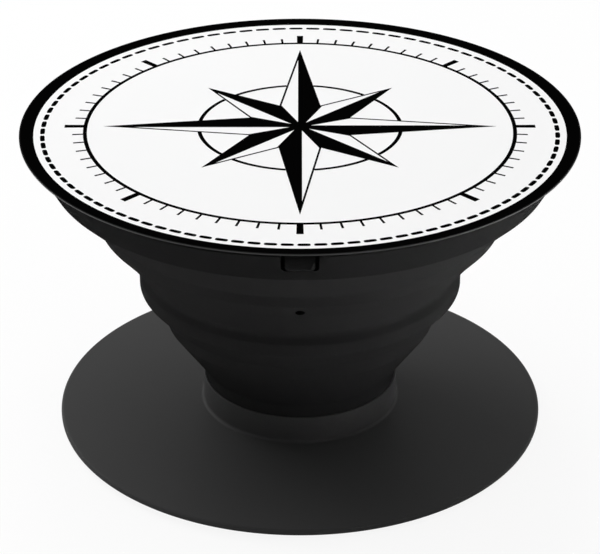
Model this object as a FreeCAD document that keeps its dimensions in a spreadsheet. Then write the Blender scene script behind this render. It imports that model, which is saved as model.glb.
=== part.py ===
import FreeCAD, Part
import enum
import math
import os
import Sketcher

# Collapsible phone grip, drawn fully open. Millimetres, +Z up.
# The origin is the centre of the adhesive face that goes on the phone's back.
# A saucer base carries a folding elastomer bellows in a collar, and the bellows carries a snap-on disc.

SIZES = {
    # saucer base
    "base_radius": 18.08,
    "rim_wall": 1.05,
    "rim_web": 0.2,
    "rim_round": 0.2,
    "rim_bevel_width": 0.6,
    "rim_bevel_rise": 0.22,
    "rim_under_round": 0.12,
    "saucer_rise": 1.35,
    "collar_radius": 7.35,
    "collar_height": 1.15,
    "collar_land": 0.22,
    "collar_foot_round": 0.65,
    # adhesive pad, in the recess under the base
    "pad_gap": 0.1,
    "pad_thickness": 0.65,
    "pad_proud": 0.25,
    # cup inside the collar, and the hole for the bellows' neck
    "cup_taper": 0.7,
    "cup_web": 0.6,
    "neck_hole_radius": 4.2,
    "flange_room": 0.3,
    # bellows foot
    "foot_gap": 0.02,
    "neck_bore_radius": 2.6,
    "flange_radius": 5.3,
    "flange_thickness": 0.42,
    "flange_gap": 0.08,
    "foot_floor": 0.95,
    # bellows walls and folds, from the collar up
    "bellows_wall": 1.0,
    "wall_draft": 0.1,
    "foot_wall_rise": 1.0,
    "lower_fold_rise": 3.8,
    "lower_fold_flare": 2.67,
    "knuckle_rise": 1.2,
    "knuckle_flare": 0.42,
    "knuckle_fold_rise": 1.77,
    "knuckle_fold_flare": 1.53,
    "middle_wall_rise": 0.95,
    "shoulder_rise": 0.63,
    "shoulder_inset": 0.38,
    "hollow_rise": 2.63,
    "hollow_flare": 2.05,
    "middle_fold_rise": 1.32,
    "middle_fold_flare": 1.19,
    "upper_wall_rise": 0.88,
    "upper_fold_rise": 3.03,
    "upper_fold_flare": 3.19,
    "ring_rise": 2.54,
    "ring_flare": 1.39,
    "ring_break": 0.2,
    "edge_round": 0.4,
    "cove_round": 0.45,
    "vent_radius": 0.33,
    "vent_drop": 0.76,
    # disc
    "rim_overhang": 0.63,
    "rim_edge": 0.13,
    "rim_land": 0.1,
    "lip_thickness": 0.39,
    "plate_thickness": 1.1,
    "spigot_gap": 0.05,
    "spigot_wall": 1.1,
    "spigot_depth": 1.6,
    # snap lugs under the disc, each in a notch of the bellows' top ring
    "lug_count": 4,
    "lug_width": 2.0,
    "lug_drop": 1.55,
    "lug_inset": 0.37,
    "lug_thickness": 1.25,
    "lug_corner": 0.3,
    "lug_crown": 0.15,
    "lug_gap": 0.05,
    "barb_reach": 0.3,
    "barb_height": 0.5,
    "notch_gap": 0.24,
    # printed face
    "face_thickness": 0.08,
    "face_proud": 0.03,
    "face_gap": 0.02,
}
# Angles in degrees
FULL_TURN = 360
CROWN_SLOPE = -35
# Directions in a sketch, in radians from its first axis
LEFTWARD = math.radians(180)
DOWNWARD = math.radians(270)
RIGHTWARD = math.radians(360)
# Largest share of a wall's height that a round on it may take
RIM_ROUND_SHARE = 0.5
RIM_UNDER_ROUND_SHARE = 0.4
COLLAR_ROUND_SHARE = 0.9
HALF = 0.5


class SketchAxis(enum.IntEnum):
    """A sketch's own numbers for its two axes; the across axis also stands for the origin on it."""

    ACROSS = -1
    UPRIGHT = -2


class SketchPoint(enum.IntEnum):
    """A sketch's own numbers for the points of a line, an arc or a circle."""

    START = 1
    END = 2
    CENTRE = 3


doc = FreeCAD.newDocument("phone_grip")


class Length:
    """A length in millimetres, with the sheet expression that gives it."""

    def __init__(self, value, text):
        self.value = value
        self.text = text

    def joined(self, sign, other, value):
        text = other.text if isinstance(other, Length) else str(other)
        return Length(value, f"({self.text} {sign} {text})")

    def __add__(self, other):
        return self.joined("+", other, self.value + other.value)

    def __sub__(self, other):
        return self.joined("-", other, self.value - other.value)

    def __mul__(self, share):
        return self.joined("*", share, self.value * share)


def make_sheet():
    """Writes every driving size into the document's sheet, one aliased cell each."""
    sheet = doc.addObject("Spreadsheet::Sheet", "Sizes")
    for row, (name, value) in enumerate(SIZES.items(), start=1):
        sheet.set(f"A{row}", name)
        sheet.set(f"B{row}", str(value))
        sheet.setAlias(f"B{row}", name)
    doc.recompute()
    return sheet


sheet = make_sheet()


def size(name):
    """The sheet's value of that name, as a length that a constraint can be bound to."""
    return Length(sheet.get(name), f"Sizes.{name}")


def lesser(first, second):
    """The smaller of two lengths, so that a round never outgrows the wall that it sits on."""
    return Length(min(first.value, second.value), f"min({first.text}; {second.text})")


ZERO = Length(0.0, "0")


def new_body(label):
    """An empty body at the origin of the grip."""
    body = doc.addObject("PartDesign::Body", label)
    body.Label = label
    body.Placement = FreeCAD.Placement()
    return body


def origin_feature(body, role):
    """One of a body's own origin planes or axes."""
    return next(feature for feature in body.Origin.OriginFeatures if feature.Role == role)


def new_sketch(body, name, plane, offset):
    """A sketch on one of the body's origin planes, moved along the plane's normal by offset."""
    sketch = body.newObject("Sketcher::SketchObject", name)
    sketch.AttachmentSupport = [(origin_feature(body, plane), "")]
    sketch.MapMode = "FlatFace"
    sketch.setExpression("AttachmentOffset.Base.z", offset.text)
    return sketch


def hold(sketch, geometry, end, across, up):
    """Binds one end of a sketch line to its two distances from the sketch's origin."""
    for kind, length in (("DistanceX", across), ("DistanceY", up)):
        if length is ZERO:
            axis = SketchAxis.UPRIGHT if kind == "DistanceX" else SketchAxis.ACROSS
            sketch.addConstraint(Sketcher.Constraint("PointOnObject", geometry, end, axis))
            continue
        origin = (SketchAxis.ACROSS, SketchPoint.START)
        index = sketch.addConstraint(Sketcher.Constraint(kind, *origin, geometry, end, length.value))
        sketch.setExpression(f"Constraints[{index}]", length.text)


def hold_radius(sketch, geometry, radius):
    """Binds the radius of a sketch circle or arc."""
    index = sketch.addConstraint(Sketcher.Constraint("Radius", geometry, radius.value))
    sketch.setExpression(f"Constraints[{index}]", radius.text)


def join_ends(sketch):
    """Joins the end of each line or arc of a closed outline to the start of the next."""
    for side in range(sketch.GeometryCount):
        following = (side + 1) % sketch.GeometryCount
        ends = (side, SketchPoint.END, following, SketchPoint.START)
        sketch.addConstraint(Sketcher.Constraint("Coincident", *ends))


def outline(body, name, corners, plane="XZ_Plane"):
    """A closed outline of straight lines between corners.

    A corner is a distance across and up, and a third length rounds it with an arc. A rounded corner stays in
    the sketch as a point that both its lines run through, and that point is held in the corner's place.
    """
    sketch = new_sketch(body, name, plane, ZERO)
    places = [FreeCAD.Vector(across.value, up.value, 0) for across, up, *_ in corners]
    following = places[1:] + places[:1]
    for start, end in zip(places, following):
        sketch.addGeometry(Part.LineSegment(start, end), False)
    join_ends(sketch)
    arcs = {}
    for line, (_, _, *rounds) in enumerate(corners):
        for radius in rounds:
            arcs[line] = sketch.GeometryCount
            sketch.fillet(line, SketchPoint.START, radius.value, True, True)
    for line, (across, up, *rounds) in enumerate(corners):
        corner = arcs[line] + 1 if rounds else line
        hold(sketch, corner, SketchPoint.START, across, up)
        for radius in rounds:
            hold_radius(sketch, arcs[line], radius)
    return sketch


def round_outline(body, name, radius, up, plane="XY_Plane", offset=ZERO):
    """A circle centred on the sketch's upright axis, at a distance up it."""
    sketch = new_sketch(body, name, plane, offset)
    centre = FreeCAD.Vector(0, up.value, 0)
    circle = sketch.addGeometry(Part.Circle(centre, FreeCAD.Vector(0, 0, 1), radius.value), False)
    hold(sketch, circle, SketchPoint.CENTRE, ZERO, up)
    hold_radius(sketch, circle, radius)
    return sketch


def side_outline(body, name, half_width, bottom, top, corner, distance):
    """A rectangle with rounded lower corners, on an upright plane at a distance before the axis."""
    sketch = new_sketch(body, name, "XZ_Plane", distance)
    right_bend_start = FreeCAD.Vector(half_width.value - corner.value, bottom.value, 0)
    right_bend_end = FreeCAD.Vector(half_width.value, bottom.value + corner.value, 0)
    right_top = FreeCAD.Vector(half_width.value, top.value, 0)
    left_top = FreeCAD.Vector(-half_width.value, top.value, 0)
    left_bend_start = FreeCAD.Vector(-half_width.value, bottom.value + corner.value, 0)
    left_bend_end = FreeCAD.Vector(corner.value - half_width.value, bottom.value, 0)

    def bend(centre_across, from_angle, to_angle):
        centre = FreeCAD.Vector(centre_across, bottom.value + corner.value, 0)
        circle = Part.Circle(centre, FreeCAD.Vector(0, 0, 1), corner.value)
        return sketch.addGeometry(Part.ArcOfCircle(circle, from_angle, to_angle), False)

    def line(start, end):
        return sketch.addGeometry(Part.LineSegment(start, end), False)

    floor = line(left_bend_end, right_bend_start)
    right_bend = bend(right_bend_start.x, DOWNWARD, RIGHTWARD)
    right_side = line(right_bend_end, right_top)
    ceiling = line(right_top, left_top)
    left_side = line(left_top, left_bend_start)
    left_bend = bend(left_bend_end.x, LEFTWARD, DOWNWARD)
    join_ends(sketch)
    hold(sketch, floor, SketchPoint.END, half_width - corner, bottom)
    hold(sketch, right_side, SketchPoint.START, half_width, bottom + corner)
    hold(sketch, right_side, SketchPoint.END, half_width, top)
    mirrored = (
        (floor, SketchPoint.START, floor, SketchPoint.END),
        (left_side, SketchPoint.END, right_side, SketchPoint.START),
        (ceiling, SketchPoint.END, ceiling, SketchPoint.START),
    )
    for pair in mirrored:
        sketch.addConstraint(Sketcher.Constraint("Symmetric", *pair, SketchAxis.UPRIGHT))
    hold_radius(sketch, right_bend, corner)
    hold_radius(sketch, left_bend, corner)
    return sketch


def revolve(body, name, sketch):
    """Turns an outline once round the upright axis."""
    turned = body.newObject("PartDesign::Revolution", name)
    turned.Profile = sketch
    turned.ReferenceAxis = (sketch, ["V_Axis"])
    turned.Angle = FULL_TURN
    sketch.Visibility = False
    doc.recompute()


def extrude(body, kind, name, sketch, length, both_ways=False, taper=0):
    """Pads or pockets an outline along its sketch's normal, or half of length to each side of it."""
    feature = body.newObject(f"PartDesign::{kind}", name)
    feature.Profile = sketch
    feature.setExpression("Length", length.text)
    feature.SideType = "Symmetric" if both_ways else "One side"
    feature.Reversed = kind == "Pocket"
    feature.TaperAngle = taper
    before = body.Shape.Volume if kind == "Pocket" else 0.0
    doc.recompute()
    if kind == "Pocket" and not body.Shape.Volume < before:
        raise RuntimeError(f"{name} cuts nothing")
    return feature


def repeat_round(body, name, features):
    """Repeats features round the axis, once for each lug."""
    pattern = body.newObject("PartDesign::PolarPattern", name)
    pattern.Originals = features
    pattern.Axis = (origin_feature(body, "Z_Axis"), [""])
    pattern.Angle = FULL_TURN
    pattern.setExpression("Occurrences", "Sizes.lug_count")
    body.Tip = pattern
    doc.recompute()


# Levels and radii that more than one piece needs

rim_bottom = size("pad_proud")
recess_ceiling = size("pad_thickness")
rim_top = recess_ceiling + size("rim_web")
recess_radius = size("base_radius") - size("rim_wall")
collar_foot = rim_top + size("saucer_rise")
collar_top = collar_foot + size("collar_height")
flange_seat = recess_ceiling + size("flange_gap") + size("flange_thickness")
cup_floor = flange_seat + size("cup_web")
cup_mouth_radius = size("collar_radius") - size("collar_land")
cup_floor_radius = cup_mouth_radius - size("cup_taper")

# Outer edges of the bellows, each a radius and a height, from the collar up
foot_edge = (cup_mouth_radius - size("foot_gap"), collar_top)
foot_wall_top = (foot_edge[0] + size("wall_draft"), foot_edge[1] + size("foot_wall_rise"))
knuckle_edge = (foot_wall_top[0] + size("lower_fold_flare"), foot_wall_top[1] + size("lower_fold_rise"))
knuckle_top = (knuckle_edge[0] + size("knuckle_flare"), knuckle_edge[1] + size("knuckle_rise"))
middle_edge = (knuckle_top[0] + size("knuckle_fold_flare"), knuckle_top[1] + size("knuckle_fold_rise"))
middle_wall_top = (middle_edge[0], middle_edge[1] + size("middle_wall_rise"))
waist = (middle_wall_top[0] - size("shoulder_inset"), middle_wall_top[1] + size("shoulder_rise"))
hollow_top = (waist[0] + size("hollow_flare"), waist[1] + size("hollow_rise"))
upper_edge = (hollow_top[0] + size("middle_fold_flare"), hollow_top[1] + size("middle_fold_rise"))
upper_wall_top = (upper_edge[0] + size("wall_draft"), upper_edge[1] + size("upper_wall_rise"))
ring_edge = (upper_wall_top[0] + size("upper_fold_flare"), upper_wall_top[1] + size("upper_fold_rise"))
ring_top = (ring_edge[0] + size("ring_flare"), ring_edge[1] + size("ring_rise"))
ring_seat_radius = ring_edge[0] - size("bellows_wall")

# Disc
lip_underside = ring_top[1]
face_floor = lip_underside + size("lip_thickness")
disc_radius = ring_top[0] + size("rim_overhang")
face_recess_radius = disc_radius - size("rim_land")
face_radius = face_recess_radius - size("face_gap")
disc_top = face_floor + size("face_thickness") - size("face_proud")

# Snap lugs
lug_bottom = lip_underside - size("lug_drop")
lug_outer = ring_top[0] - size("lug_inset")
lug_inner = lug_outer - size("lug_thickness")
barb_inner = lug_inner - size("barb_reach")
barb_top = lug_bottom + size("barb_height")
barb_half = (size("lug_width") * HALF) - size("lug_corner")


def make_adhesive_pad():
    """A flat gel disc: its lower face is the one that sticks to the phone."""
    body = new_body("adhesive_pad")
    disc = round_outline(body, "pad_outline", recess_radius - size("pad_gap"), ZERO)
    extrude(body, "Pad", "pad_disc", disc, size("pad_thickness"))
    return body


def make_base():
    """A shallow saucer with a collar whose cup takes the bellows' foot, and a recess below for the pad."""
    body = new_body("base")
    hole = size("neck_hole_radius")
    flange_pocket = size("flange_radius") + size("flange_room")
    rim_foot = rim_bottom + size("rim_bevel_rise")
    rim_height = rim_top - rim_foot
    rim_round = lesser(size("rim_round"), rim_height * RIM_ROUND_SHARE)
    rim_under_round = lesser(size("rim_under_round"), rim_height * RIM_UNDER_ROUND_SHARE)
    collar_foot_round = lesser(size("collar_foot_round"), size("collar_height") * COLLAR_ROUND_SHARE)
    section = outline(body, "base_section", [
        (hole, flange_seat),
        (flange_pocket, flange_seat),
        (flange_pocket, recess_ceiling),
        (recess_radius, recess_ceiling),
        (recess_radius, rim_bottom),
        (size("base_radius") - size("rim_bevel_width"), rim_bottom),
        (size("base_radius"), rim_foot, rim_under_round),
        (size("base_radius"), rim_top, rim_round),
        (size("collar_radius"), collar_foot, collar_foot_round),
        (size("collar_radius"), collar_top),
        (cup_mouth_radius, collar_top),
        (cup_floor_radius, cup_floor),
        (hole, cup_floor),
    ])
    revolve(body, "base_turned", section)
    return body


def make_bellows():
    """One moulded elastomer piece: a foot snapped through the base, stepped walls and folds, and a top ring.

    The inner outline is the outer one moved in by the wall, so the sloping folds are thinner than the walls.
    """
    body = new_body("bellows")
    edge_round = size("edge_round")
    cove_round = size("cove_round")
    outer = [
        foot_edge,
        (*foot_wall_top, cove_round),
        (*knuckle_edge, cove_round),
        (*knuckle_top, cove_round),
        (*middle_edge, edge_round),
        (*middle_wall_top, edge_round),
        (*waist, cove_round),
        hollow_top,
        (*upper_edge, edge_round),
        (*upper_wall_top, cove_round),
        (*ring_edge, edge_round),
    ]
    inner = [(across - size("bellows_wall"), up) for across, up, *_ in outer]
    neck = size("neck_hole_radius") - size("foot_gap")
    bore = size("neck_bore_radius")
    flange_bottom = flange_seat - size("flange_thickness")
    foot_radius = cup_floor_radius - size("foot_gap")
    inside_floor = cup_floor + size("foot_floor")
    inside_radius = foot_radius - size("bellows_wall")
    ring_break = size("ring_break")
    section = outline(body, "bellows_section", [
        (bore, flange_bottom),
        (size("flange_radius"), flange_bottom),
        (size("flange_radius"), flange_seat),
        (neck, flange_seat),
        (neck, cup_floor),
        (foot_radius, cup_floor),
        *outer,
        (ring_top[0] - ring_break * HALF, ring_top[1] - ring_break),
        (ring_top[0] - ring_break, ring_top[1]),
        (ring_seat_radius, ring_top[1]),
        *reversed(inner),
        (inside_radius, inside_floor),
        (bore, inside_floor),
    ])
    revolve(body, "bellows_turned", section)

    notch_half = (size("lug_width") * HALF) + size("notch_gap")
    notch_floor = lug_inner - size("lug_gap")
    notch_bottom = lug_bottom - size("lug_gap")
    notch_reach = disc_radius - notch_floor
    corner = size("lug_corner")
    notch_outline = side_outline(
        body, "notch_outline", notch_half, notch_bottom, ring_top[1], corner, notch_floor)
    notch = extrude(body, "Pocket", "notch", notch_outline, notch_reach)
    pocket_half = barb_half + size("notch_gap")
    pocket_floor = barb_inner - size("lug_gap")
    pocket_top = barb_top + size("lug_gap")
    pocket_outline = side_outline(
        body, "barb_pocket_outline", pocket_half, notch_bottom, pocket_top, size("lug_gap"), pocket_floor)
    pocket = extrude(body, "Pocket", "barb_pocket", pocket_outline, size("lug_thickness"))
    repeat_round(body, "notches", [notch, pocket])

    vent_height = upper_edge[1] - size("vent_drop")
    vent_outline = round_outline(body, "vent_outline", size("vent_radius"), vent_height, "XZ_Plane")
    extrude(body, "Pocket", "vent", vent_outline, upper_edge[0])
    return body


def make_disc():
    """The rigid top: a thin-lipped plate with a spigot inside the bellows' ring and lugs in its notches."""
    body = new_body("disc")
    plate_bottom = face_floor - size("plate_thickness")
    spigot_outer = ring_seat_radius - size("spigot_gap")
    spigot_inner = spigot_outer - size("spigot_wall")
    spigot_end = lip_underside - size("spigot_depth")
    section = outline(body, "disc_section", [
        (ZERO, plate_bottom),
        (spigot_inner, plate_bottom),
        (spigot_inner, spigot_end),
        (spigot_outer, spigot_end),
        (spigot_outer, lip_underside),
        (ring_top[0], lip_underside),
        (disc_radius, disc_top - size("rim_edge")),
        (disc_radius, disc_top),
        (face_recess_radius, disc_top),
        (face_recess_radius, face_floor),
        (ZERO, face_floor),
    ])
    revolve(body, "disc_turned", section)
    lug_half = size("lug_width") * HALF
    corner = size("lug_corner")
    lug_outline = side_outline(body, "lug_outline", lug_half, lug_bottom, face_floor, corner, lug_inner)
    lug = extrude(body, "Pad", "lug", lug_outline, size("lug_thickness") - size("lug_crown"))
    crown_foot = lug_outer - size("lug_crown")
    crown_outline = side_outline(body, "crown_outline", lug_half, lug_bottom, face_floor, corner, crown_foot)
    crown = extrude(body, "Pad", "crown", crown_outline, size("lug_crown"), taper=CROWN_SLOPE)
    lug_back = ZERO - lug_inner
    barb_tip = ZERO - barb_inner
    barb_corners = [(lug_back, lug_bottom), (barb_tip, barb_top), (lug_back, barb_top)]
    barb_outline = outline(body, "barb_outline", barb_corners, "YZ_Plane")
    barb = extrude(body, "Pad", "barb", barb_outline, barb_half + barb_half, both_ways=True)
    repeat_round(body, "lugs", [lug, crown, barb])
    return body


def make_printed_face():
    """A thin printed disc laid in the recess on top, standing a hair proud of the rim."""
    body = new_body("printed_face")
    circle = round_outline(body, "face_outline", face_radius, ZERO, "XY_Plane", face_floor)
    extrude(body, "Pad", "face_disc", circle, size("face_thickness"))
    return body


def write_parts(bodies):
    """Checks every object and shape of the document, then writes one file for each body."""
    doc.recompute()
    for item in doc.Objects:
        if {"Invalid", "Error"} & set(item.State):
            raise RuntimeError(f"{item.Name} failed: {item.State}")
    for body in bodies:
        if body.Shape.isNull() or not body.Shape.isValid() or len(body.Shape.Solids) != 1:
            raise RuntimeError(f"{body.Label} is not one sound solid")
    os.makedirs("parts", exist_ok=True)
    for body in bodies:
        body.Shape.exportStep(f"parts/{body.Label}.step")
        print(body.Label, round(body.Shape.Volume, 2), body.Shape.BoundBox)


write_parts([make_adhesive_pad(), make_base(), make_bellows(), make_disc(), make_printed_face()])
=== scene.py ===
"""Dresses the collapsible phone grip: black moulded pieces and a printed face, in a white studio."""
import math

import bpy
import numpy as np
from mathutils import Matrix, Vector


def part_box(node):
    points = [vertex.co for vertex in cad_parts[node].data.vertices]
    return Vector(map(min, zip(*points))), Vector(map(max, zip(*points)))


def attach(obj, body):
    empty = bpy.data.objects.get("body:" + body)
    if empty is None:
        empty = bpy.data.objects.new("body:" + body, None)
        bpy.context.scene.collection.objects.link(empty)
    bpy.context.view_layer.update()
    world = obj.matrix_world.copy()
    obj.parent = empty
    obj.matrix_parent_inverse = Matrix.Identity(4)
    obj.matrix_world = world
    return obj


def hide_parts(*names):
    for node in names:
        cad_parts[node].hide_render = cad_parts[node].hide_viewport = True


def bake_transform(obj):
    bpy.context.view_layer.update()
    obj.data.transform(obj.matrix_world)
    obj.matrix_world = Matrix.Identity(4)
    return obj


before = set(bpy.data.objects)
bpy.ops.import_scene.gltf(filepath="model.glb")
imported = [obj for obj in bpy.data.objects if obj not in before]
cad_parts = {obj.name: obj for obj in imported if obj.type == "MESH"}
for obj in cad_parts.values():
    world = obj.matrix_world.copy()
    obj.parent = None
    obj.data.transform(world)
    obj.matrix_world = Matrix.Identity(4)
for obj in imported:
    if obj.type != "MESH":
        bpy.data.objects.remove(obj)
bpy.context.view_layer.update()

MM = 0.001
FULL_TURN = 2 * math.pi
QUARTER_TURN = math.pi / 2


# Sizes in millimetres, from the frame or after its solids; collar and lug faces follow the photograph

def node_box(node):
    """The lowest and highest corner of a solid of the frame, in millimetres."""
    low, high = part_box(node)
    return np.array(low) / MM, np.array(high) / MM


pad_low, pad_high = node_box("adhesive_pad")
base_low, base_high = node_box("base")
bellows_low, bellows_high = node_box("bellows")
disc_low, disc_high = node_box("disc")
face_low, face_high = node_box("printed_face")

PAD_RADIUS = pad_high[0]
PAD_BOTTOM = pad_low[2]
PAD_TOP = pad_high[2]
BASE_RADIUS = base_high[0]
RIM_BOTTOM = base_low[2]
COLLAR_TOP = base_high[2]
FLANGE_BOTTOM = bellows_low[2]
RING_TOP = bellows_high[2]
DISC_RADIUS = disc_high[0]
DISC_TOP = disc_high[2]
SPIGOT_END = disc_low[2]
FACE_RADIUS = face_high[0]
FACE_FLOOR = face_low[2]
FACE_TOP = face_high[2]

# Base
RIM_WALL = 1.05
RIM_WEB = 0.2
RIM_TOP = PAD_TOP + RIM_WEB
RIM_ROUND = 0.2
RIM_BEVEL_WIDTH = 0.6
RIM_BEVEL_RISE = 0.22
RIM_UNDER_ROUND = 0.12
COLLAR_RADIUS = 7.25
COLLAR_HEIGHT = 2.1
COLLAR_FOOT = COLLAR_TOP - COLLAR_HEIGHT
COLLAR_FOOT_ROUND = 0.25
COLLAR_LAND = 0.12
NECK_HOLE_RADIUS = 4.2
FLANGE_RADIUS = 5.3
FLANGE_ROOM = 0.3
FLANGE_THICKNESS = 0.42
FLANGE_SEAT = FLANGE_BOTTOM + FLANGE_THICKNESS
CUP_WEB = 0.6
CUP_TAPER = 0.7
CUP_FLOOR = FLANGE_SEAT + CUP_WEB
CUP_MOUTH_RADIUS = COLLAR_RADIUS - COLLAR_LAND
CUP_FLOOR_RADIUS = CUP_MOUTH_RADIUS - CUP_TAPER

# Bellows: its foot in the cup, then each wall or fold upward as flare, rise and the round at its top
FOOT_GAP = 0.02
FOOT_FLOOR = 0.95
NECK_BORE_RADIUS = 2.6
WALL = 1.0
WALL_DRAFT = 0.1
EDGE_ROUND = 0.4
COVE_ROUND = 0.45
FOOT_RADIUS = CUP_MOUTH_RADIUS - FOOT_GAP
FOOT_WALL = (WALL_DRAFT, 1.0, COVE_ROUND)
LOWER_FOLD = (2.67, 3.8, COVE_ROUND)
KNUCKLE = (0.42, 1.2, COVE_ROUND)
KNUCKLE_FOLD = (1.53, 1.77, EDGE_ROUND)
MIDDLE_WALL = (0.0, 0.95, EDGE_ROUND)
SHOULDER = (-0.38, 0.63, COVE_ROUND)
HOLLOW = (2.05, 2.63, 0.0)
MIDDLE_FOLD = (1.19, 1.32, EDGE_ROUND)
UPPER_WALL = (WALL_DRAFT, 0.88, COVE_ROUND)
UPPER_FOLD = (3.19, 3.03, EDGE_ROUND)
STEPS_UP = (
    FOOT_WALL, LOWER_FOLD, KNUCKLE, KNUCKLE_FOLD, MIDDLE_WALL, SHOULDER, HOLLOW, MIDDLE_FOLD,
    UPPER_WALL, UPPER_FOLD)
STEP_EDGES = np.cumsum(np.array(STEPS_UP)[:, :2], axis=0) + (FOOT_RADIUS, COLLAR_TOP)
RING_EDGE_RADIUS, RING_EDGE = STEP_EDGES[-1]
RING_FLARE = 1.39
RING_RADIUS = RING_EDGE_RADIUS + RING_FLARE
RING_BREAK = 0.2
UPPER_EDGE_RADIUS, UPPER_EDGE = STEP_EDGES[STEPS_UP.index(MIDDLE_FOLD)]
VENT_RADIUS = 0.33
VENT_DROP = 0.76
VENT_LEVEL = UPPER_EDGE - VENT_DROP

# Disc, and the snap lugs in the notches of the bellows' ring
PLATE_THICKNESS = 1.1
RIM_EDGE = 0.13
RIM_LAND = 0.1
SPIGOT_GAP = 0.05
SPIGOT_WALL = 1.1
LUG_COUNT = 4
LUG_TURNS = np.arange(LUG_COUNT) * FULL_TURN / LUG_COUNT - QUARTER_TURN
LUG_HALF = 1.0
LUG_CORNER = 0.3
LUG_DROP = 1.55
LUG_BOTTOM = RING_TOP - LUG_DROP
LUG_RECESS = 0.37
LUG_OUTER = RING_RADIUS - LUG_RECESS
LUG_THICKNESS = 1.25
LUG_INNER = LUG_OUTER - LUG_THICKNESS
LUG_FACET_DEPTH = 0.36
LUG_FACET_INSET = 0.44
LUG_FACET_RISE = 1.0
LUG_FACET_TOP = LUG_BOTTOM + LUG_FACET_RISE
LUG_TOP_INSET_SHARE = 0.05
LUG_EDGE_ROUND = 0.08
LUG_BOW = 0.5
LUG_BOW_RISE = 0.45
LUG_BOW_PEAK = LUG_BOTTOM + LUG_BOW_RISE
BARB_REACH = 0.3
BARB_RISE = 0.5
BARB_TOP = LUG_BOTTOM + BARB_RISE
BARB_HALF = LUG_HALF - LUG_CORNER
LUG_GAP = 0.05
NOTCH_GAP = 0.24
NOTCH_HALF = LUG_HALF + NOTCH_GAP
NOTCH_BOTTOM = LUG_BOTTOM - LUG_GAP
NOTCH_FLOOR = LUG_INNER - LUG_GAP
POCKET_HALF = BARB_HALF + NOTCH_GAP
POCKET_FLOOR = NOTCH_FLOOR - BARB_REACH
POCKET_TOP = BARB_TOP + LUG_GAP

# Print: a black band at the rim, a dashed ring, and an eight-point wind rose in a ring of ticks
BAND_SHIFT = 0.3
BAND_INNER = 18.95
INK_SHIFT = 0.43
INK_THICKNESS = 0.01
INK_LINE = 0.28
DASH_RADIUS = 18.3
DASH_WIDTH = 0.34
DASH_COUNT = 96
DASH_SHARE = 0.78
DASH_STEPS = 12
DASH_BLUNTNESS = 0.98
DASH_SQUARENESS = 4
DASH_START = math.radians(0.9)
DASH_CROWDING = 0.097
ROSE_POINTS = 8
LONG_POINT = 14.0
SHORT_POINT = 9.6
ROSE_WAIST = 3.9
INNER_RING = 7.2
OUTER_RING = 15.3
TICK_COUNT = 72
TICK_LENGTH = 0.75
TICK_HALF = 0.08
MARK_LENGTH = 1.35
MARK_HALF = 0.22

# Fineness of the meshes
ROUND_COLUMNS = 360
BETWEEN_LUGS = 50
LINES_IN_NOTCH = (0.6, 1.04)
LINES_BESIDE_NOTCH = (1.5, 1.85, 2.2)
SPREAD_RADIUS = 11.5
TOP_ROWS = 2
GAP_STEPS = 24
ARC_STEPS = 5
RUN_STEP = 0.8
RUN_END = 0.03
EDGE_BREAK = 0.05
WALL_LEAN = 0.02
SHARP_TURN = math.radians(40)


# Surfaces worked out on grids

def rounded(corners, closed=True):
    """A section through corners (radius, height, round): runs in even steps, and an arc at each corner.

    A long run also has a row close to each of its ends, so that the shading of the arcs stays out of it.

    A corner's arc is tangent to both its runs: its centre lies round / sin(half the open angle) from the
    corner, on the line that halves the angle, and it is swept evenly over the angle that the section turns.
    """
    corners = np.array(corners, float)
    places = corners[:, :2]
    before = np.roll(places, 1, axis=0) - places
    after = np.roll(places, -1, axis=0) - places
    rows = []
    for index, (place, round_size) in enumerate(zip(places, corners[:, 2])):
        if round_size == 0:
            rows.append(place[None])
            continue
        back = before[index] / np.linalg.norm(before[index])
        ahead = after[index] / np.linalg.norm(after[index])
        half_open = math.acos(back @ ahead) / 2
        inward = (back + ahead) / np.linalg.norm(back + ahead)
        along = (ahead - back) / np.linalg.norm(ahead - back)
        centre = place + inward * round_size / math.sin(half_open)
        sweep = np.linspace(-1, 1, ARC_STEPS + 1)[:, None] * (QUARTER_TURN - half_open)
        rows.append(centre + round_size * (np.sin(sweep) * along - np.cos(sweep) * inward))
    if closed:
        rows.append(rows[0][:1])
    section = [rows[0]]
    for previous, following in zip(rows[:-1], rows[1:]):
        run = following[0] - previous[-1]
        length = np.linalg.norm(run)
        parts = math.ceil(length / RUN_STEP)
        shares = np.arange(1, parts) / parts
        if length > RUN_STEP:
            shares = np.concatenate([[RUN_END / length], shares, [1 - RUN_END / length]])
        section += [previous[-1] + shares[:, None] * run, following]
    section = np.concatenate(section)
    return section[:-1] if closed else section


def turned(section, turns):
    """A surface of revolution: each (radius, height) of a section at each angle round the axis."""
    radius, height = section[:, :1], section[:, 1:]
    level = np.broadcast_to(height, (len(section), len(turns)))
    return np.stack([radius * np.cos(turns), radius * np.sin(turns), level], axis=-1)


def numbered(points):
    """The number of each point of a grid, in the grid's own layout."""
    return np.arange(points[..., 0].size).reshape(points.shape[:-1])


def grid_faces(numbers, close_rows):
    """Quads between the neighbours in a grid of point numbers that closes on itself round the axis."""
    numbers = np.concatenate([numbers, numbers[:, :1]], axis=1)
    if close_rows:
        numbers = np.concatenate([numbers, numbers[:1]])
    return np.stack([numbers[:-1, :-1], numbers[:-1, 1:], numbers[1:, 1:], numbers[1:, :-1]], axis=-1)


def even_turns(count):
    """Angles spread evenly round the axis."""
    return np.arange(count) * FULL_TURN / count


def turned_ring(section):
    """A closed section that keeps clear of the axis, turned into a ring."""
    points = turned(section, even_turns(ROUND_COLUMNS))
    faces = grid_faces(numbered(points), close_rows=True)
    return points.reshape(-1, 3), faces.reshape(-1, 4).tolist()


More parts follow.
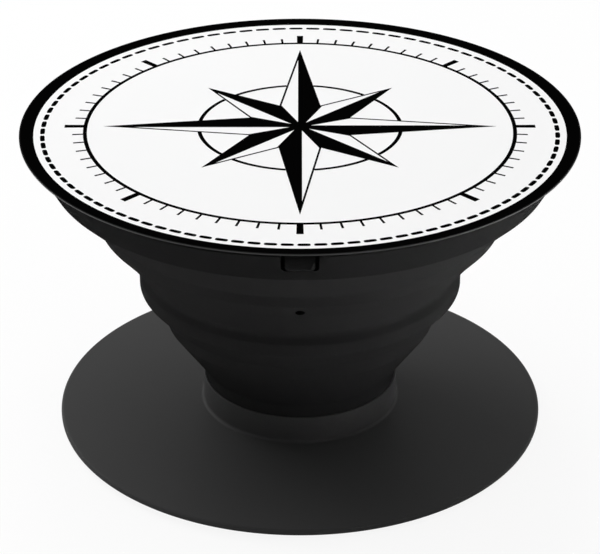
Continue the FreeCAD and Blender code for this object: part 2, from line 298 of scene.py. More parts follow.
def turned_disc(section):
    """A section that starts and ends on the axis, turned, with a fan of triangles at each pole."""
    points = turned(section[1:-1], even_turns(ROUND_COLUMNS))
    numbers = numbered(points)
    poles = np.array([[0, 0, section[0, 1]], [0, 0, section[-1, 1]]])
    first, last = numbers[0], numbers[-1]
    first_fan = np.stack([np.full_like(first, numbers.size), np.roll(first, -1), first], axis=-1)
    last_fan = np.stack([np.full_like(last, numbers.size + 1), last, np.roll(last, -1)], axis=-1)
    quads = grid_faces(numbers, close_rows=False).reshape(-1, 4)
    faces = quads.tolist() + first_fan.tolist() + last_fan.tolist()
    return np.concatenate([points.reshape(-1, 3), poles]), faces


def placed_round(across, outward, height, turn):
    """Points given in a lug's own directions, across it and outward from the axis, turned to an angle."""
    x = outward * np.cos(turn) - across * np.sin(turn)
    y = outward * np.sin(turn) + across * np.cos(turn)
    return np.stack([x, y, np.broadcast_to(height, x.shape)], axis=-1)


def stacked(shapes):
    """Several point and face lists as one, each list's faces counted on from the points before it."""
    points = np.concatenate([shape_points for shape_points, _ in shapes])
    faces = []
    first = 0
    for shape_points, shape_faces in shapes:
        faces += [[first + number for number in face] for face in shape_faces]
        first += len(shape_points)
    return points, faces


def new_piece(name, shape, finishes):
    """Puts points in millimetres and their faces into a smooth mesh whose object stays at the origin."""
    points, faces = shape
    mesh = bpy.data.meshes.new(name)
    mesh.from_pydata((points * MM).tolist(), [], faces)
    mesh.shade_smooth()
    mesh.set_sharp_from_angle(angle=SHARP_TURN)
    for finish in finishes:
        mesh.materials.append(finish)
    piece = bpy.data.objects.new(name, mesh)
    bpy.context.scene.collection.objects.link(piece)
    return piece


def face_centres(piece):
    """The middle of each face of a piece in millimetres, as three arrays."""
    centres = np.zeros(3 * len(piece.data.polygons))
    piece.data.polygons.foreach_get("center", centres)
    return centres.reshape(-1, 3).T / MM


# Finishes

WHITE = (1, 1, 1, 1)
GRAIN_NOISE = {"Detail": 3.0, "Roughness": 0.6}
CLOUD_NOISE = {"Detail": 2.0, "Roughness": 0.5}


def add_node(tree, kind, values=(), **settings):
    """A new node with its settings made and its named inputs filled in."""
    node = tree.nodes.new(kind)
    for key, value in settings.items():
        setattr(node, key, value)
    for key, value in dict(values).items():
        node.inputs[key].default_value = value
    return node


def make_mould_grain():
    """The skin of a moulded piece: a fine even grain as a height, and a slow cloudy mask from 0 to 1."""
    group = bpy.data.node_groups.new("mould_grain", "ShaderNodeTree")
    for name, way, kind in (
        ("Place", "INPUT", "NodeSocketVector"),
        ("Grain Scale", "INPUT", "NodeSocketFloat"),
        ("Cloud Scale", "INPUT", "NodeSocketFloat"),
        ("Height", "OUTPUT", "NodeSocketFloat"),
        ("Cloud", "OUTPUT", "NodeSocketFloat"),
    ):
        group.interface.new_socket(name, in_out=way, socket_type=kind)
    entry = add_node(group, "NodeGroupInput")
    leave = add_node(group, "NodeGroupOutput")
    grain = add_node(group, "ShaderNodeTexNoise", GRAIN_NOISE)
    cloud = add_node(group, "ShaderNodeTexNoise", CLOUD_NOISE)
    group.links.new(entry.outputs["Place"], grain.inputs["Vector"])
    group.links.new(entry.outputs["Grain Scale"], grain.inputs["Scale"])
    group.links.new(entry.outputs["Place"], cloud.inputs["Vector"])
    group.links.new(entry.outputs["Cloud Scale"], cloud.inputs["Scale"])
    group.links.new(grain.outputs["Fac"], leave.inputs["Height"])
    group.links.new(cloud.outputs["Fac"], leave.inputs["Cloud"])
    return group


mould_grain = make_mould_grain()


def moulded(name, greys, roughnesses, specular, grain_scale, grain_depth, cloud_scale):
    """A moulded skin: grey and roughness drift slowly between two values each, under a fine grain."""
    finish = bpy.data.materials.new(name)
    finish.use_nodes = True
    tree = finish.node_tree
    shader = tree.nodes["Principled BSDF"]
    shader.inputs["Specular IOR Level"].default_value = specular
    place = add_node(tree, "ShaderNodeTexCoord")
    skin = add_node(tree, "ShaderNodeGroup", node_tree=mould_grain)
    skin.inputs["Grain Scale"].default_value = grain_scale
    skin.inputs["Cloud Scale"].default_value = cloud_scale
    colour = add_node(tree, "ShaderNodeMix", data_type="RGBA")
    low_grey, high_grey = greys
    colour.inputs["A"].default_value = (low_grey, low_grey, low_grey, 1.0)
    colour.inputs["B"].default_value = (high_grey, high_grey, high_grey, 1.0)
    low_roughness, high_roughness = roughnesses
    roughness = add_node(tree, "ShaderNodeMapRange", {"To Min": low_roughness, "To Max": high_roughness})
    bump = add_node(tree, "ShaderNodeBump", {"Distance": grain_depth})
    tree.links.new(place.outputs["Object"], skin.inputs["Place"])
    tree.links.new(skin.outputs["Cloud"], colour.inputs["Factor"])
    tree.links.new(skin.outputs["Cloud"], roughness.inputs["Value"])
    tree.links.new(skin.outputs["Height"], bump.inputs["Height"])
    tree.links.new(colour.outputs["Result"], shader.inputs["Base Color"])
    tree.links.new(roughness.outputs["Result"], shader.inputs["Roughness"])
    tree.links.new(bump.outputs["Normal"], shader.inputs["Normal"])
    return finish


base_black = moulded(
    "base_black", greys=(0.0475, 0.053), roughnesses=(0.45, 0.51), specular=0.033,
    grain_scale=6000, grain_depth=0.004 * MM, cloud_scale=120)
bellows_black = moulded(
    "bellows_black", greys=(0.0152, 0.0178), roughnesses=(0.4, 0.46), specular=0.0,
    grain_scale=7000, grain_depth=0.005 * MM, cloud_scale=160)
# Painted shade: a darker copy of the bellows' rubber, standing in for the shade under the disc's lip on the
# ring, the lugs and the disc's underside
under_lip_painted_shade = moulded(
    "under_lip_painted_shade", greys=(0.0095, 0.0115), roughnesses=(0.42, 0.5), specular=0.0,
    grain_scale=7000, grain_depth=0.005 * MM, cloud_scale=160)
disc_black = moulded(
    "disc_black", greys=(0.008, 0.0095), roughnesses=(0.3, 0.36), specular=0.45,
    grain_scale=6000, grain_depth=0.003 * MM, cloud_scale=140)
adhesive_gel = moulded(
    "adhesive_gel", greys=(0.07, 0.09), roughnesses=(0.22, 0.3), specular=0.5,
    grain_scale=1500, grain_depth=0.01 * MM, cloud_scale=200)
print_white = moulded(
    "print_white", greys=(0.92, 0.94), roughnesses=(0.5, 0.56), specular=0.02,
    grain_scale=9000, grain_depth=0.001 * MM, cloud_scale=90)
print_ink = moulded(
    "print_ink", greys=(0.001, 0.0014), roughnesses=(0.6, 0.66), specular=0.0,
    grain_scale=9000, grain_depth=0.001 * MM, cloud_scale=90)


# Base and pad

def make_pad():
    """The gel pad: a flat section from pole to pole with softly rounded edges, turned round the axis."""
    edge_round = 3 * EDGE_BREAK
    section = rounded([
        (0, PAD_BOTTOM, 0),
        (PAD_RADIUS, PAD_BOTTOM, edge_round),
        (PAD_RADIUS, PAD_TOP, edge_round),
        (0, PAD_TOP, 0),
    ], closed=False)
    pad = new_piece("gel_pad", turned_disc(section), [adhesive_gel])
    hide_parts("adhesive_pad")
    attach(pad, "base_side")


def make_base():
    """The saucer: a closed section of recess, rolled rim, slope, collar and cup, turned round the axis."""
    recess_radius = BASE_RADIUS - RIM_WALL
    flange_pocket = FLANGE_RADIUS + FLANGE_ROOM
    section = rounded([
        (NECK_HOLE_RADIUS, FLANGE_SEAT, EDGE_BREAK),
        (flange_pocket, FLANGE_SEAT, EDGE_BREAK),
        (flange_pocket, PAD_TOP, EDGE_BREAK),
        (recess_radius, PAD_TOP, EDGE_BREAK),
        (recess_radius, RIM_BOTTOM, EDGE_BREAK),
        (BASE_RADIUS - RIM_BEVEL_WIDTH, RIM_BOTTOM, EDGE_BREAK),
        (BASE_RADIUS, RIM_BOTTOM + RIM_BEVEL_RISE, RIM_UNDER_ROUND),
        (BASE_RADIUS, RIM_TOP, RIM_ROUND),
        (COLLAR_RADIUS, COLLAR_FOOT, COLLAR_FOOT_ROUND),
        (COLLAR_RADIUS, COLLAR_TOP, EDGE_BREAK),
        (CUP_MOUTH_RADIUS, COLLAR_TOP, EDGE_BREAK),
        (CUP_FLOOR_RADIUS, CUP_FLOOR, EDGE_BREAK),
        (NECK_HOLE_RADIUS, CUP_FLOOR, EDGE_BREAK),
    ])
    base = new_piece("saucer_base", turned_ring(section), [base_black])
    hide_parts("base")
    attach(base, "base_side")


make_pad()
make_base()


# Bellows

VENT_STEPS = 4
VENT_HOLE_STEPS = 3
VENT_PATCH = VENT_RADIUS * VENT_STEPS / VENT_HOLE_STEPS
vent_shares = np.arange(-VENT_STEPS, VENT_STEPS + 1) / VENT_STEPS


def with_levels(section, levels):
    """A rising section whose rows from the first level to the last give way to rows at the levels."""
    outside = (section[:, 1] < levels[0]) | (section[:, 1] > levels[-1])
    radius = np.interp(levels, section[:, 1], section[:, 0])
    rows = np.concatenate([section[outside], np.stack([radius, levels], axis=1)])
    return rows[np.argsort(rows[:, 1])]


def bellows_rows():
    """The rows of the bellows' section: up its foot and its outside, and down its inside to the foot.

    The inside is the outside moved in by the wall, row for row, except that the ring's seat is upright.
    """
    neck = NECK_HOLE_RADIUS - FOOT_GAP
    foot_floor_radius = CUP_FLOOR_RADIUS - FOOT_GAP
    foot = rounded([
        (NECK_BORE_RADIUS, FLANGE_BOTTOM, 0),
        (FLANGE_RADIUS, FLANGE_BOTTOM, EDGE_BREAK),
        (FLANGE_RADIUS, FLANGE_SEAT, EDGE_BREAK),
        (neck, FLANGE_SEAT, EDGE_BREAK),
        (neck, CUP_FLOOR, EDGE_BREAK),
        (foot_floor_radius, CUP_FLOOR, EDGE_BREAK),
        (FOOT_RADIUS, COLLAR_TOP, 0),
    ], closed=False)
    steps = [(*edge, top_round) for edge, (_, _, top_round) in zip(STEP_EDGES, STEPS_UP)]
    outside = rounded([
        (FOOT_RADIUS, COLLAR_TOP, 0),
        *steps,
        (RING_RADIUS - RING_BREAK / 2, RING_TOP - RING_BREAK, EDGE_BREAK),
        (RING_RADIUS - RING_BREAK, RING_TOP, 0),
    ], closed=False)
    corner_turns = np.linspace(0, QUARTER_TURN, ARC_STEPS + 2)[1:]
    notch_corner = NOTCH_BOTTOM + LUG_CORNER * (1 - np.cos(corner_turns))
    pocket_edge = (POCKET_TOP - WALL_LEAN, POCKET_TOP + WALL_LEAN)
    notch_levels = np.array([NOTCH_BOTTOM - WALL_LEAN, *notch_corner, *pocket_edge])
    outside = with_levels(outside, notch_levels)
    outside = with_levels(outside, VENT_LEVEL + VENT_PATCH * vent_shares)
    inside = outside[::-1].copy()
    inside[:, 0] = np.minimum(inside[:, 0], RING_EDGE_RADIUS) - WALL
    inside_floor = CUP_FLOOR + FOOT_FLOOR
    floor = rounded([
        (*inside[-1], 0),
        (foot_floor_radius - WALL, inside_floor, EDGE_BREAK),
        (NECK_BORE_RADIUS, inside_floor, EDGE_BREAK),
        (NECK_BORE_RADIUS, FLANGE_BOTTOM, 0),
    ], closed=False)
    rising = np.concatenate([foot[:-1], outside])
    falling = np.concatenate([inside, floor[1:-1]])
    return rising, falling


def notch_columns():
    """Distances across a lug, to either side of its middle: lines of the vent, the pocket and the notch."""
    vent = VENT_PATCH * vent_shares[VENT_STEPS:]
    pocket = [POCKET_HALF - WALL_LEAN, POCKET_HALF + WALL_LEAN]
    notch = [NOTCH_HALF - WALL_LEAN, NOTCH_HALF + WALL_LEAN]
    right = np.sort(np.concatenate([vent, LINES_IN_NOTCH, pocket, notch, LINES_BESIDE_NOTCH]))
    return np.concatenate([-right[:0:-1], right])


def bellows_points(rows, notched):
    """Points of rows carried round the axis, with columns gathered at each lug and even between lugs.

    Near a lug a column keeps its distance across the lug at every radius past the spread radius. In the
    notch the columns follow its rounded lower corners, and the points are moved in to its floor or to the
    barb's pocket.
    """
    radius, height = rows[:, :1], rows[:, 1:]
    columns = notch_columns()
    reach = columns[-1]
    across = np.broadcast_to(columns, (len(rows), len(columns)))
    if notched:
        above = np.clip((height - NOTCH_BOTTOM) / LUG_CORNER, 0, 1)
        below = np.clip((height - RING_EDGE) / (NOTCH_BOTTOM - RING_EDGE), 0, 1)
        half = NOTCH_HALF - LUG_CORNER * (below - np.sqrt(1 - (1 - above) ** 2))
        beyond = half + (np.abs(columns) - NOTCH_HALF) * (reach - half) / (reach - NOTCH_HALF)
        within = np.abs(columns) * half / NOTCH_HALF
        across = np.sign(columns) * np.where(np.abs(columns) < NOTCH_HALF, within, beyond)
    across = across * np.minimum(1, radius / SPREAD_RADIUS)
    outward = np.sqrt(radius ** 2 - across ** 2)
    if notched:
        in_notch = (np.abs(columns) < NOTCH_HALF) & (height > NOTCH_BOTTOM)
        in_pocket = in_notch & (np.abs(columns) < POCKET_HALF) & (height < POCKET_TOP)
        outward = np.where(in_pocket, POCKET_FLOOR, np.where(in_notch, NOTCH_FLOOR, outward))
    side_turn = np.arcsin(across[:, -1:] / radius)
    shares = np.arange(1, BETWEEN_LUGS + 1) / (BETWEEN_LUGS + 1)
    free_turns = side_turn + shares * (FULL_TURN / LUG_COUNT - 2 * side_turn)
    across = np.concatenate([across, radius * np.sin(free_turns)], axis=1)
    outward = np.concatenate([outward, radius * np.cos(free_turns)], axis=1)
    sectors = [placed_round(across, outward, height, turn) for turn in LUG_TURNS]
    return np.concatenate(sectors, axis=1)


def vent_patch(wall_inset):
    """Points round the vent: square rings of the grid, drawn into circles at the hole and left at the rim.

    A point (a, b) of the square goes to its circle at max(|a|, |b|) / length(a, b) times its distance. The
    patch lies on the fold's cone, moved in by the wall for the inside.
    """
    beside, up = np.meshgrid(vent_shares, vent_shares)
    ring = np.maximum(np.abs(beside), np.abs(up))
    length = np.hypot(beside, up)
    length[length == 0] = 1
    hole_share = VENT_HOLE_STEPS / VENT_STEPS
    roundness = np.clip((1 - ring) / (1 - hole_share), 0, 1)
    stretch = 1 + roundness * (ring / length - 1)
    across = VENT_PATCH * beside * stretch
    height = VENT_LEVEL + VENT_PATCH * up * stretch
    flare, rise, _ = MIDDLE_FOLD
    radius = UPPER_EDGE_RADIUS + (height - UPPER_EDGE) * flare / rise - wall_inset
    return placed_round(across, np.sqrt(radius ** 2 - across ** 2), height, LUG_TURNS[0])


def make_bellows():
    """The bellows: a closed section turned round the axis, notched for the lugs and pierced by a vent.

    The vent is opened by leaving out the faces inside its ring on both walls and joining the two rings by
    a tube. The ring at the top is painted darker than the folds, as painted shade for the shade under the
    disc's lip.
    """
    rising, falling = bellows_rows()
    outer = bellows_points(rising, notched=True)
    inner = bellows_points(falling, notched=False)
    top_shares = np.arange(1, TOP_ROWS + 1) / (TOP_ROWS + 1)
    top = outer[-1] + top_shares[:, None, None] * (inner[0] - outer[-1])
    points = np.concatenate([outer, top, inner])
    numbers = numbered(points)

    vent_row = np.argmin(np.abs(rising[:, 1] - VENT_LEVEL)) - VENT_STEPS
    inner_row = len(outer) + len(top) + np.argmin(np.abs(falling[:, 1] - VENT_LEVEL)) - VENT_STEPS
    vent_column = len(notch_columns()) // 2 - VENT_STEPS
    size = len(vent_shares)
    columns = slice(vent_column, vent_column + size)
    outer_patch = (slice(vent_row, vent_row + size), columns)
    inner_patch = (slice(inner_row, inner_row + size), columns)
    points[outer_patch] = vent_patch(0)
    points[inner_patch] = vent_patch(WALL)[::-1]

    margin = VENT_STEPS - VENT_HOLE_STEPS
    hole = slice(margin, size - margin - 1)
    faces = grid_faces(numbers, close_rows=True)
    kept = np.ones(faces.shape[:2], bool)
    kept[outer_patch][hole, hole] = False
    kept[inner_patch][hole, hole] = False
    rim = np.arange(margin, size - margin)
    low, high = np.full(len(rim) - 1, rim[0]), np.full(len(rim) - 1, rim[-1])
    ring_rows = np.concatenate([low, rim[:-1], high, rim[:0:-1]])
    ring_columns = np.concatenate([rim[:-1], high, rim[:0:-1], low])
    outer_ring = numbers[outer_patch][ring_rows, ring_columns]
    inner_ring = numbers[inner_patch][::-1][ring_rows, ring_columns]
    tube = np.stack([outer_ring, np.roll(outer_ring, -1), np.roll(inner_ring, -1), inner_ring], axis=-1)
    used, faces = np.unique(np.concatenate([faces[kept], tube]), return_inverse=True)
    shape = (points.reshape(-1, 3)[used], faces.reshape(-1, 4).tolist())
    bellows = new_piece("folding_bellows", shape, [bellows_black, under_lip_painted_shade])
    _, _, height = face_centres(bellows)
    # Painted shade: faces above the ring's edge take the darker grey of the shade under the lip
    bellows.data.polygons.foreach_set("material_index", (height > RING_EDGE).astype(int))
    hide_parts("bellows")
    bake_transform(bellows)


make_bellows()


# Disc and its lugs

def make_disc():
    """The rigid top: plate, spigot and thin lip as one section from pole to pole, turned round the axis."""
    spigot_outer = RING_EDGE_RADIUS - WALL - SPIGOT_GAP
    spigot_inner = spigot_outer - SPIGOT_WALL
    plate_bottom = FACE_FLOOR - PLATE_THICKNESS
    land_radius = DISC_RADIUS - RIM_LAND
    section = rounded([
        (0, plate_bottom, 0),
        (spigot_inner, plate_bottom, 2 * EDGE_BREAK),
        (spigot_inner, SPIGOT_END, 2 * EDGE_BREAK),
        (spigot_outer, SPIGOT_END, 2 * EDGE_BREAK),
        (spigot_outer, RING_TOP, EDGE_BREAK),
        (RING_RADIUS, RING_TOP, EDGE_BREAK),
        (DISC_RADIUS, DISC_TOP - RIM_EDGE, EDGE_BREAK),
        (DISC_RADIUS, DISC_TOP, EDGE_BREAK / 2),
        (land_radius, DISC_TOP, EDGE_BREAK / 2),
        (land_radius, FACE_FLOOR, EDGE_BREAK / 2),
        (0, FACE_FLOOR, 0),
    ], closed=False)
    # Painted shade: all faces but the rim's upright edge take the darker grey of the shade under the lip
    disc = new_piece("top_disc", turned_disc(section), [under_lip_painted_shade, disc_black])
    across, along, height = face_centres(disc)
    outermost = np.hypot(across, along) > DISC_RADIUS - EDGE_BREAK / 2
    upright = (height > DISC_TOP - RIM_EDGE + EDGE_BREAK / 2) & (height < DISC_TOP - EDGE_BREAK / 2)
    disc.data.polygons.foreach_set("material_index", (outermost & upright).astype(int))
    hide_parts("disc")
    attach(disc, "disc_side")


def lug_shape(turn):
    """A snap lug: an outline with a rounded bottom, carried outward, with facets on its outer edges.

    At each station outward the outline is drawn in by an inset, in full at the lug's bottom and less and
    less up its sides to the facets' top, where a small share of it is left. The outer face is bowed: it
    stands back by the bow times the square of the height from its peak, as a share of the height from there
    to the top. Farther in, the bow fades in proportion.
    """
    sunk = 0.1
    stations = rounded([
        (LUG_INNER, 0, 0),
        (LUG_OUTER - LUG_FACET_DEPTH, 0, LUG_EDGE_ROUND),
        (LUG_OUTER, LUG_FACET_INSET, LUG_EDGE_ROUND),
        (LUG_OUTER, LUG_HALF / 2, 0),
    ], closed=False)
    outward, inset = stations[:, :1], stations[:, 1:]
    bends = np.linspace(0, QUARTER_TURN, ARC_STEPS + 1)
    side_heights = np.linspace(LUG_BOTTOM + LUG_CORNER, LUG_FACET_TOP, ARC_STEPS + 1)[1:]
    top_heights = np.linspace(LUG_FACET_TOP, RING_TOP + sunk, ARC_STEPS + 1)[1:]
    right = np.concatenate([
        LUG_HALF - LUG_CORNER + LUG_CORNER * np.sin(bends), np.full(2 * ARC_STEPS, LUG_HALF)])
    rise = np.concatenate([
        LUG_BOTTOM + LUG_CORNER - LUG_CORNER * np.cos(bends), side_heights, top_heights])
    taper = np.clip((LUG_FACET_TOP - rise) / (LUG_FACET_TOP - LUG_BOTTOM), LUG_TOP_INSET_SHARE, 1)
    right = right - inset * taper * right / LUG_HALF
    rise = rise + inset * np.clip(1 - (rise - LUG_BOTTOM) / LUG_CORNER, 0, 1)
    across = np.concatenate([right, -right[:, ::-1]], axis=1)
    height = np.concatenate([rise, rise[:, ::-1]], axis=1)
    depth_share = (outward - LUG_INNER) / (LUG_OUTER - LUG_INNER)
    height_share = (height - LUG_BOW_PEAK) / (RING_TOP - LUG_BOW_PEAK)
    points = placed_round(across, outward - LUG_BOW * depth_share * height_share ** 2, height, turn)
    numbers = numbered(points)
    faces = grid_faces(numbers, close_rows=False).reshape(-1, 4).tolist()
    rows_up, rows_down = np.split(numbers[-1], 2)
    rows_down = rows_down[::-1]
    strips = np.stack([rows_up[:-1], rows_up[1:], rows_down[1:], rows_down[:-1]], axis=-1)
    faces += strips.tolist() + [numbers[0, ::-1].tolist()]
    return points.reshape(-1, 3), faces


def barb_shape(turn):
    """The barb behind a lug: a wedge section carried from one of its sides to the other."""
    sunk = 0.02
    outward = np.array([LUG_INNER + sunk, LUG_INNER - BARB_REACH, LUG_INNER + sunk])
    height = np.array([LUG_BOTTOM, BARB_TOP, BARB_TOP])
    across = np.array([[-BARB_HALF], [BARB_HALF]])
    points = placed_round(*np.broadcast_arrays(across, outward), height, turn)
    numbers = numbered(points)
    faces = grid_faces(numbers, close_rows=False).reshape(-1, 4).tolist()
    faces += [numbers[0, ::-1].tolist(), numbers[1].tolist()]
    return points.reshape(-1, 3), faces


def make_lugs():
    """All the snap lugs and their barbs, as one piece that moves with the disc."""
    shapes = [make(turn) for turn in LUG_TURNS for make in (lug_shape, barb_shape)]
    # Painted shade: the lugs take the darker grey of the shade under the disc's lip
    lugs = new_piece("snap_lugs", stacked(shapes), [under_lip_painted_shade])
    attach(lugs, "disc_side")


make_disc()
make_lugs()


# Printed face

FILM_TOP = FACE_TOP - INK_THICKNESS
INK_BOTTOM = FILM_TOP - INK_THICKNESS


def make_film():
    """The printed film: a flat section turned round the axis, inked black outside the band's inner edge.

    All inside that edge is moved forward by the band's shift, and the band's points less and less outward.
    """
    section = rounded([
        (0, FACE_FLOOR, 0),
        (FACE_RADIUS, FACE_FLOOR, EDGE_BREAK / 2),
        (FACE_RADIUS, FILM_TOP, EDGE_BREAK / 2),
        (BAND_INNER, FILM_TOP, 0),
        (0, FILM_TOP, 0),
    ], closed=False)
    points, faces = turned_disc(section)
    from_rim = FACE_RADIUS - np.hypot(points[:, 0], points[:, 1])
    points[:, 1] -= BAND_SHIFT * np.clip(from_rim / (FACE_RADIUS - BAND_INNER), 0, 1)
    film = new_piece("print_film", (points, faces), [print_white, print_ink])
    across, along, _ = face_centres(film)
    radius = np.hypot(across, along + BAND_SHIFT)
    film.data.polygons.foreach_set("material_index", (radius > BAND_INNER).astype(int))
    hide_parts("printed_face")
    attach(film, "disc_side")


def arc_bars(inner, outer, middles, half_spans, steps, widths=1.0):
    """Flat curved bars of ink: a rectangle from inner to outer carried along an arc about each angle.

    At each step along the arc the rectangle has the share of its full width that widths gives.
    """
    middles, half_spans = np.broadcast_arrays(middles, half_spans)
    turns = middles[:, None, None] + half_spans[:, None, None] * np.linspace(-1, 1, steps + 1)[:, None]
    half_widths = (outer - inner) / 2 * np.broadcast_to(widths, steps + 1)[:, None]
    radius = (inner + outer) / 2 + half_widths * np.array([-1, 1, 1, -1])
    height = np.array([INK_BOTTOM, INK_BOTTOM, FACE_TOP, FACE_TOP])
    points = placed_round(np.zeros_like(radius * turns), radius + 0 * turns, height, turns)
    numbers = numbered(points)
    following = np.roll(numbers, -1, axis=2)
    sides = np.stack([numbers[:, :-1], numbers[:, 1:], following[:, 1:], following[:, :-1]], axis=-1)
    ends = np.concatenate([numbers[:, 0], numbers[:, -1, ::-1]])
    return points.reshape(-1, 3), sides.reshape(-1, 4).tolist() + ends.tolist()


def ink_ring(middle_radius):
    """A thin ring of ink: the ink line's rectangle turned round the axis."""
    inner, outer = middle_radius - INK_LINE / 2, middle_radius + INK_LINE / 2
    section = np.array([(inner, INK_BOTTOM), (outer, INK_BOTTOM), (outer, FACE_TOP), (inner, FACE_TOP)])
    return turned_ring(section)


def slabs(outlines):
    """Flat ink shapes: each outline on the face, raised from the ink's bottom to its top."""
    count, corners, _ = outlines.shape
    levels = np.array([INK_BOTTOM, FACE_TOP])[:, None, None, None]
    flat = np.broadcast_to(outlines, (2, *outlines.shape))
    height = np.broadcast_to(levels, (2, count, corners, 1))
    points = np.concatenate([flat, height], axis=-1)
    low, high = numbered(points)
    sides = np.stack([low, np.roll(low, -1, axis=1), np.roll(high, -1, axis=1), high], axis=-1)
    faces = sides.reshape(-1, 4).tolist() + high.tolist() + low[:, ::-1].tolist()
    return points.reshape(-1, 3), faces


def on_face(radius, turn):
    """Points of the face at a distance from its middle and an angle."""
    return np.stack(np.broadcast_arrays(radius * np.cos(turn), radius * np.sin(turn)), axis=-1)


def rose_halves():
    """The two halves of each point of the rose: triangles of the middle, the tip and a waist beside it."""
    turns = even_turns(ROSE_POINTS)
    half_step = FULL_TURN / ROSE_POINTS / 2
    tips = on_face(np.where(np.arange(ROSE_POINTS) % 2, SHORT_POINT, LONG_POINT), turns)
    middle = np.zeros_like(tips)
    left = np.stack([middle, tips, on_face(ROSE_WAIST, turns + half_step)], axis=1)
    right = np.stack([middle, on_face(ROSE_WAIST, turns - half_step), tips], axis=1)
    return left, right


def line_frames(triangles):
    """Ink lines inside the sides of triangles: each side joined to the same side of the triangle drawn in.

    A triangle is drawn in towards the centre of its inscribed circle, by half the ink's line as a share of
    that circle's radius, which is twice the area over the length round the triangle.
    """
    opposite = np.linalg.norm(np.roll(triangles, -1, axis=1) - np.roll(triangles, 1, axis=1), axis=-1)
    around = opposite.sum(axis=1)
    centre = (triangles * opposite[..., None]).sum(axis=1) / around[:, None]
    first, second = triangles[:, 1] - triangles[:, 0], triangles[:, 2] - triangles[:, 0]
    area = np.abs(first[:, 0] * second[:, 1] - first[:, 1] * second[:, 0]) / 2
    share = INK_LINE / 2 * around / (2 * area)
    drawn_in = triangles + (centre[:, None] - triangles) * share[:, None, None]
    sides = [triangles, np.roll(triangles, -1, axis=1), np.roll(drawn_in, -1, axis=1), drawn_in]
    return np.stack(sides, axis=2).reshape(-1, 4, 2)


def rose_gap(radius):
    """The middle angle and half width of each gap between neighbouring points of the rose, at a radius.

    On a point's side, from its tip at angle 0 to the waist, the distance along the side that has this
    radius gives the angle at which the side is crossed.
    """
    half_step = FULL_TURN / ROSE_POINTS / 2

    def crossing(tip_radius):
        tip = on_face(tip_radius, 0.0)
        side = on_face(ROSE_WAIST, half_step) - tip
        lengths = np.roots([side @ side, 2 * tip @ side, tip @ tip - radius ** 2])
        place = tip + side * lengths.min()
        return math.atan2(place[1], place[0])

    start, end = crossing(LONG_POINT), 2 * half_step - crossing(SHORT_POINT)
    between_long_points = 4 * half_step
    sign = np.where(np.arange(ROSE_POINTS) % 2, -1, 1)
    middles = np.arange(ROSE_POINTS) // 2 * between_long_points + sign * (start + end) / 2
    return middles, (end - start) / 2


def shifted(shape):
    """A shape of the print moved forward from the axis by the ink's shift."""
    points, faces = shape
    return points - (0, INK_SHIFT, 0), faces


def make_print():
    """The ink on the film: the dashed ring by the rim, then the rose, its rings and its ticks.

    The dashes stand closer at the front: a dash at an even angle goes to that angle less the crowding times
    its cosine, and its length changes by the slope of that. Along a dash the width follows a superellipse.
    """
    even = even_turns(DASH_COUNT) + DASH_START
    dash_turns = even - DASH_CROWDING * np.cos(even)
    dash_halves = DASH_SHARE * FULL_TURN / DASH_COUNT / 2 * (1 + DASH_CROWDING * np.sin(even))
    dash_inner, dash_outer = DASH_RADIUS - DASH_WIDTH / 2, DASH_RADIUS + DASH_WIDTH / 2
    along_dash = DASH_BLUNTNESS * np.linspace(-1, 1, DASH_STEPS + 1)
    dash_widths = (1 - along_dash ** DASH_SQUARENESS) ** (1 / DASH_SQUARENESS)
    dashes = arc_bars(dash_inner, dash_outer, dash_turns, dash_halves, DASH_STEPS, dash_widths)
    border = new_piece("print_border", shifted(dashes), [print_ink])
    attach(border, "disc_side")

    left, right = rose_halves()
    gap_middles, gap_half = rose_gap(INNER_RING)
    arc_inner, arc_outer = INNER_RING - INK_LINE / 2, INNER_RING + INK_LINE / 2
    tick_start = OUTER_RING + INK_LINE / 2
    tick_end, mark_end = tick_start + TICK_LENGTH, tick_start + MARK_LENGTH
    rose = new_piece("print_rose", shifted(stacked([
        slabs(right),
        slabs(line_frames(left)),
        arc_bars(arc_inner, arc_outer, gap_middles, gap_half, steps=GAP_STEPS),
        ink_ring(OUTER_RING),
        arc_bars(tick_start, tick_end, even_turns(TICK_COUNT), TICK_HALF / OUTER_RING, steps=1),
        arc_bars(tick_start, mark_end, even_turns(ROSE_POINTS), MARK_HALF / OUTER_RING, steps=2),
    ])), [print_ink])
    rose.data.shade_flat()
    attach(rose, "disc_side")


make_film()
make_print()


# Studio

CAMERA_PLACE = Vector((0, -152.492, 93.281)) * MM
CAMERA_PITCH = 0.49422
IMAGE_WIDTH = 600
FOCAL_PIXELS = 2339.8
SENSOR_WIDTH = 36.0
BRIGHT_SIDE = Vector((0.0, 0.9, 0.4)).normalized()
DIM_SIDE_LIGHT = 0.045
BRIGHT_SIDE_LIGHT = 0.82
FLOOR_REACH = 3000
FLOOR_WHITE = 0.9
SHADOW_SHARE = 0.1
MIDDLE = (0, 0, 12)
LAMPS = (
    # name, place and aim in millimetres, side in millimetres, spread in degrees, power in watts
    ("top_panel", (-100, 100, 420), MIDDLE, 320, 180, 0.41),
    ("right_panel", (270, 160, 300), MIDDLE, 240, 180, 0.1),
    ("left_panel", (-275, 245, 270), MIDDLE, 260, 180, 0.9),
    ("table_lamp", (88, -30, 150), (88, -30, 0), 50, 35, 0.43),
    ("left_table_lamp", (-85, -25, 150), (-85, -25, 0), 50, 35, 0.1),
)


def seen_by_eye(tree):
    """A mask that is 1 for rays from the camera, off glossy things and through clear ones, and else 0."""
    path = add_node(tree, "ShaderNodeLightPath")
    mask = path.outputs["Is Camera Ray"]
    for name in ("Is Glossy Ray", "Is Transmission Ray"):
        either = add_node(tree, "ShaderNodeMath", operation="MAXIMUM")
        tree.links.new(mask, either.inputs[0])
        tree.links.new(path.outputs[name], either.inputs[1])
        mask = either.outputs[0]
    return mask


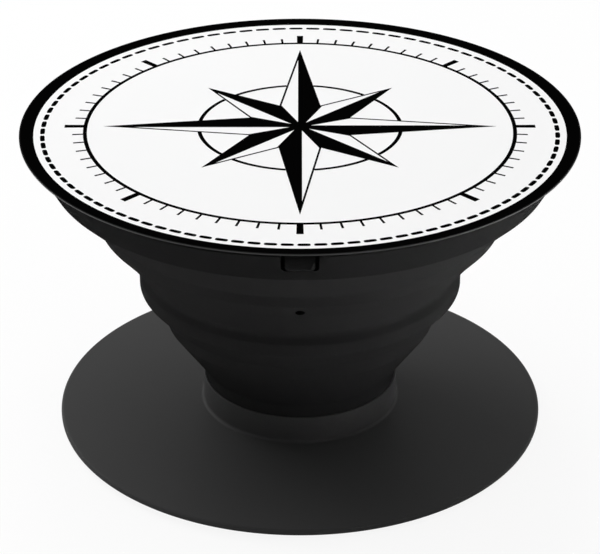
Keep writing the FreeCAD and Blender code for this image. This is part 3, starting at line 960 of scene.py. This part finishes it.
def make_world():
    """White all round to the eye, and a soft light on the object, full behind it and low before it."""
    world = bpy.data.worlds.new("studio")
    world.use_nodes = True
    tree = world.node_tree
    tree.nodes.clear()
    out = add_node(tree, "ShaderNodeOutputWorld")
    sky = add_node(tree, "ShaderNodeBackground", {"Color": WHITE})
    way = add_node(tree, "ShaderNodeTexCoord")
    along = add_node(tree, "ShaderNodeVectorMath", operation="DOT_PRODUCT")
    along.inputs[1].default_value = BRIGHT_SIDE
    room = add_node(tree, "ShaderNodeMapRange", {
        "From Min": -1.0, "From Max": 1.0, "To Min": DIM_SIDE_LIGHT, "To Max": BRIGHT_SIDE_LIGHT,
    }, interpolation_type="SMOOTHSTEP")
    strength = add_node(tree, "ShaderNodeMath", operation="MAXIMUM")
    tree.links.new(way.outputs["Generated"], along.inputs[0])
    tree.links.new(along.outputs["Value"], room.inputs["Value"])
    tree.links.new(seen_by_eye(tree), strength.inputs[0])
    tree.links.new(room.outputs["Result"], strength.inputs[1])
    tree.links.new(strength.outputs[0], sky.inputs["Strength"])
    tree.links.new(sky.outputs[0], out.inputs[0])
    bpy.context.scene.world = world


def make_floor():
    """A white sheet under the object, shown to the eye as plain white with a share of its own shading."""
    mesh = bpy.data.meshes.new("floor")
    corners = np.array([(-1, -1, 0), (1, -1, 0), (1, 1, 0), (-1, 1, 0)]) * FLOOR_REACH * MM
    mesh.from_pydata(corners.tolist(), [], [(0, 1, 2, 3)])
    floor = bpy.data.objects.new("floor", mesh)
    bpy.context.scene.collection.objects.link(floor)
    paper = bpy.data.materials.new("white_floor")
    paper.use_nodes = True
    tree = paper.node_tree
    tree.nodes.clear()
    out = add_node(tree, "ShaderNodeOutputMaterial")
    shaded = add_node(tree, "ShaderNodeBsdfDiffuse", {"Color": (FLOOR_WHITE, FLOOR_WHITE, FLOOR_WHITE, 1)})
    plain = add_node(tree, "ShaderNodeEmission", {"Color": WHITE, "Strength": 1.0})
    share = add_node(tree, "ShaderNodeMath", operation="MULTIPLY")
    share.inputs[1].default_value = 1 - SHADOW_SHARE
    mix = add_node(tree, "ShaderNodeMixShader")
    tree.links.new(seen_by_eye(tree), share.inputs[0])
    tree.links.new(share.outputs[0], mix.inputs[0])
    tree.links.new(shaded.outputs[0], mix.inputs[1])
    tree.links.new(plain.outputs[0], mix.inputs[2])
    tree.links.new(mix.outputs[0], out.inputs[0])
    mesh.materials.append(paper)


def make_lamp(name, place, aim, side, spread, power):
    """A square soft panel that looks at its aim."""
    lamp = bpy.data.lights.new(name, "AREA")
    lamp.size = side * MM
    lamp.spread = math.radians(spread)
    lamp.energy = power
    holder = bpy.data.objects.new(name, lamp)
    bpy.context.scene.collection.objects.link(holder)
    holder.location = Vector(place) * MM
    holder.rotation_euler = (Vector(aim) - Vector(place)).to_track_quat("-Z", "Y").to_euler()
    holder.visible_camera = False


def make_camera():
    """The photograph's camera: its place, its downward pitch and its field of view."""
    lens = bpy.data.cameras.new("camera")
    lens.sensor_fit = "HORIZONTAL"
    lens.sensor_width = SENSOR_WIDTH
    lens.lens = FOCAL_PIXELS / IMAGE_WIDTH * SENSOR_WIDTH
    lens.clip_start = MM
    camera = bpy.data.objects.new("camera", lens)
    bpy.context.scene.collection.objects.link(camera)
    camera.location = CAMERA_PLACE
    camera.rotation_euler = (QUARTER_TURN - CAMERA_PITCH, 0, 0)
    bpy.context.scene.camera = camera


make_world()
make_floor()
for lamp_values in LAMPS:
    make_lamp(*lamp_values)
make_camera()
bpy.context.scene.view_settings.view_transform = "Standard"
